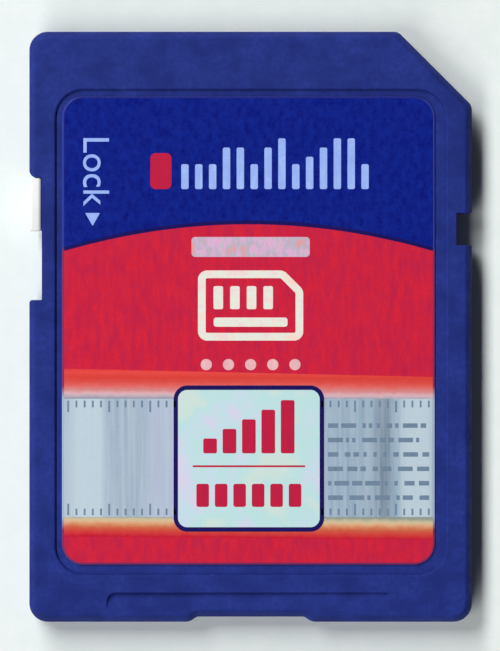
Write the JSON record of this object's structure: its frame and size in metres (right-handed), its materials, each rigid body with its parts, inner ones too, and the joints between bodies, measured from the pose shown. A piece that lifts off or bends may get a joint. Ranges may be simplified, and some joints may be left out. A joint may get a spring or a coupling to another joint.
{
  "type": "memory card",
  "caption": "Flat keyed card with a cut corner, a two-part welded case, a recessed label, a side lock slider and a row of recessed contacts on its back.",
  "frame": {"origin": "centre of the card's outline box, on the plane of its back face", "axes": "+Y along the card's length towards the leading edge with the contacts, +X towards the cut corner, +Z out of the label face"},
  "size_m": [0.024, 0.032, 0.0021],
  "materials": {
    "case_plastic": "moulded, satin",
    "slider_plastic": "moulded, satin",
    "label_film": "printed film",
    "board_laminate": "solder mask",
    "contact_gold": "gold plated, bright",
    "package_resin": "moulded resin",
    "lead_tin": "tin plated",
    "capacitor_ceramic": "fired ceramic",
    "resistor_ceramic": "glazed ceramic"
  },
  "bodies": {
    "card": {"front_cover": "case_plastic", "back_cover": "case_plastic", "label": "label_film", "circuit_board": "board_laminate", "contact_1": "contact_gold", "contact_2": "contact_gold", "contact_3": "contact_gold", "contact_4": "contact_gold", "contact_5": "contact_gold", "contact_6": "contact_gold", "contact_7": "contact_gold", "contact_8": "contact_gold", "contact_9": "contact_gold", "flash_memory": "package_resin", "flash_leads": "lead_tin", "controller": "package_resin", "controller_terminals": "lead_tin", "capacitor_1": "capacitor_ceramic", "capacitor_2": "capacitor_ceramic", "capacitor_3": "capacitor_ceramic", "capacitor_4": "capacitor_ceramic", "resistor_1": "resistor_ceramic", "resistor_2": "resistor_ceramic", "resistor_3": "resistor_ceramic", "resistor_4": "resistor_ceramic", "resistor_5": "resistor_ceramic", "resistor_6": "resistor_ceramic"},
    "slider": {"lock_slider": "slider_plastic"}
  },
  "joints": [
    {"name": "lock_slide", "type": "slide", "parent": "card", "child": "slider", "axis": [0, -1, 0], "range_m": [0, 0.0037]}
  ]
}
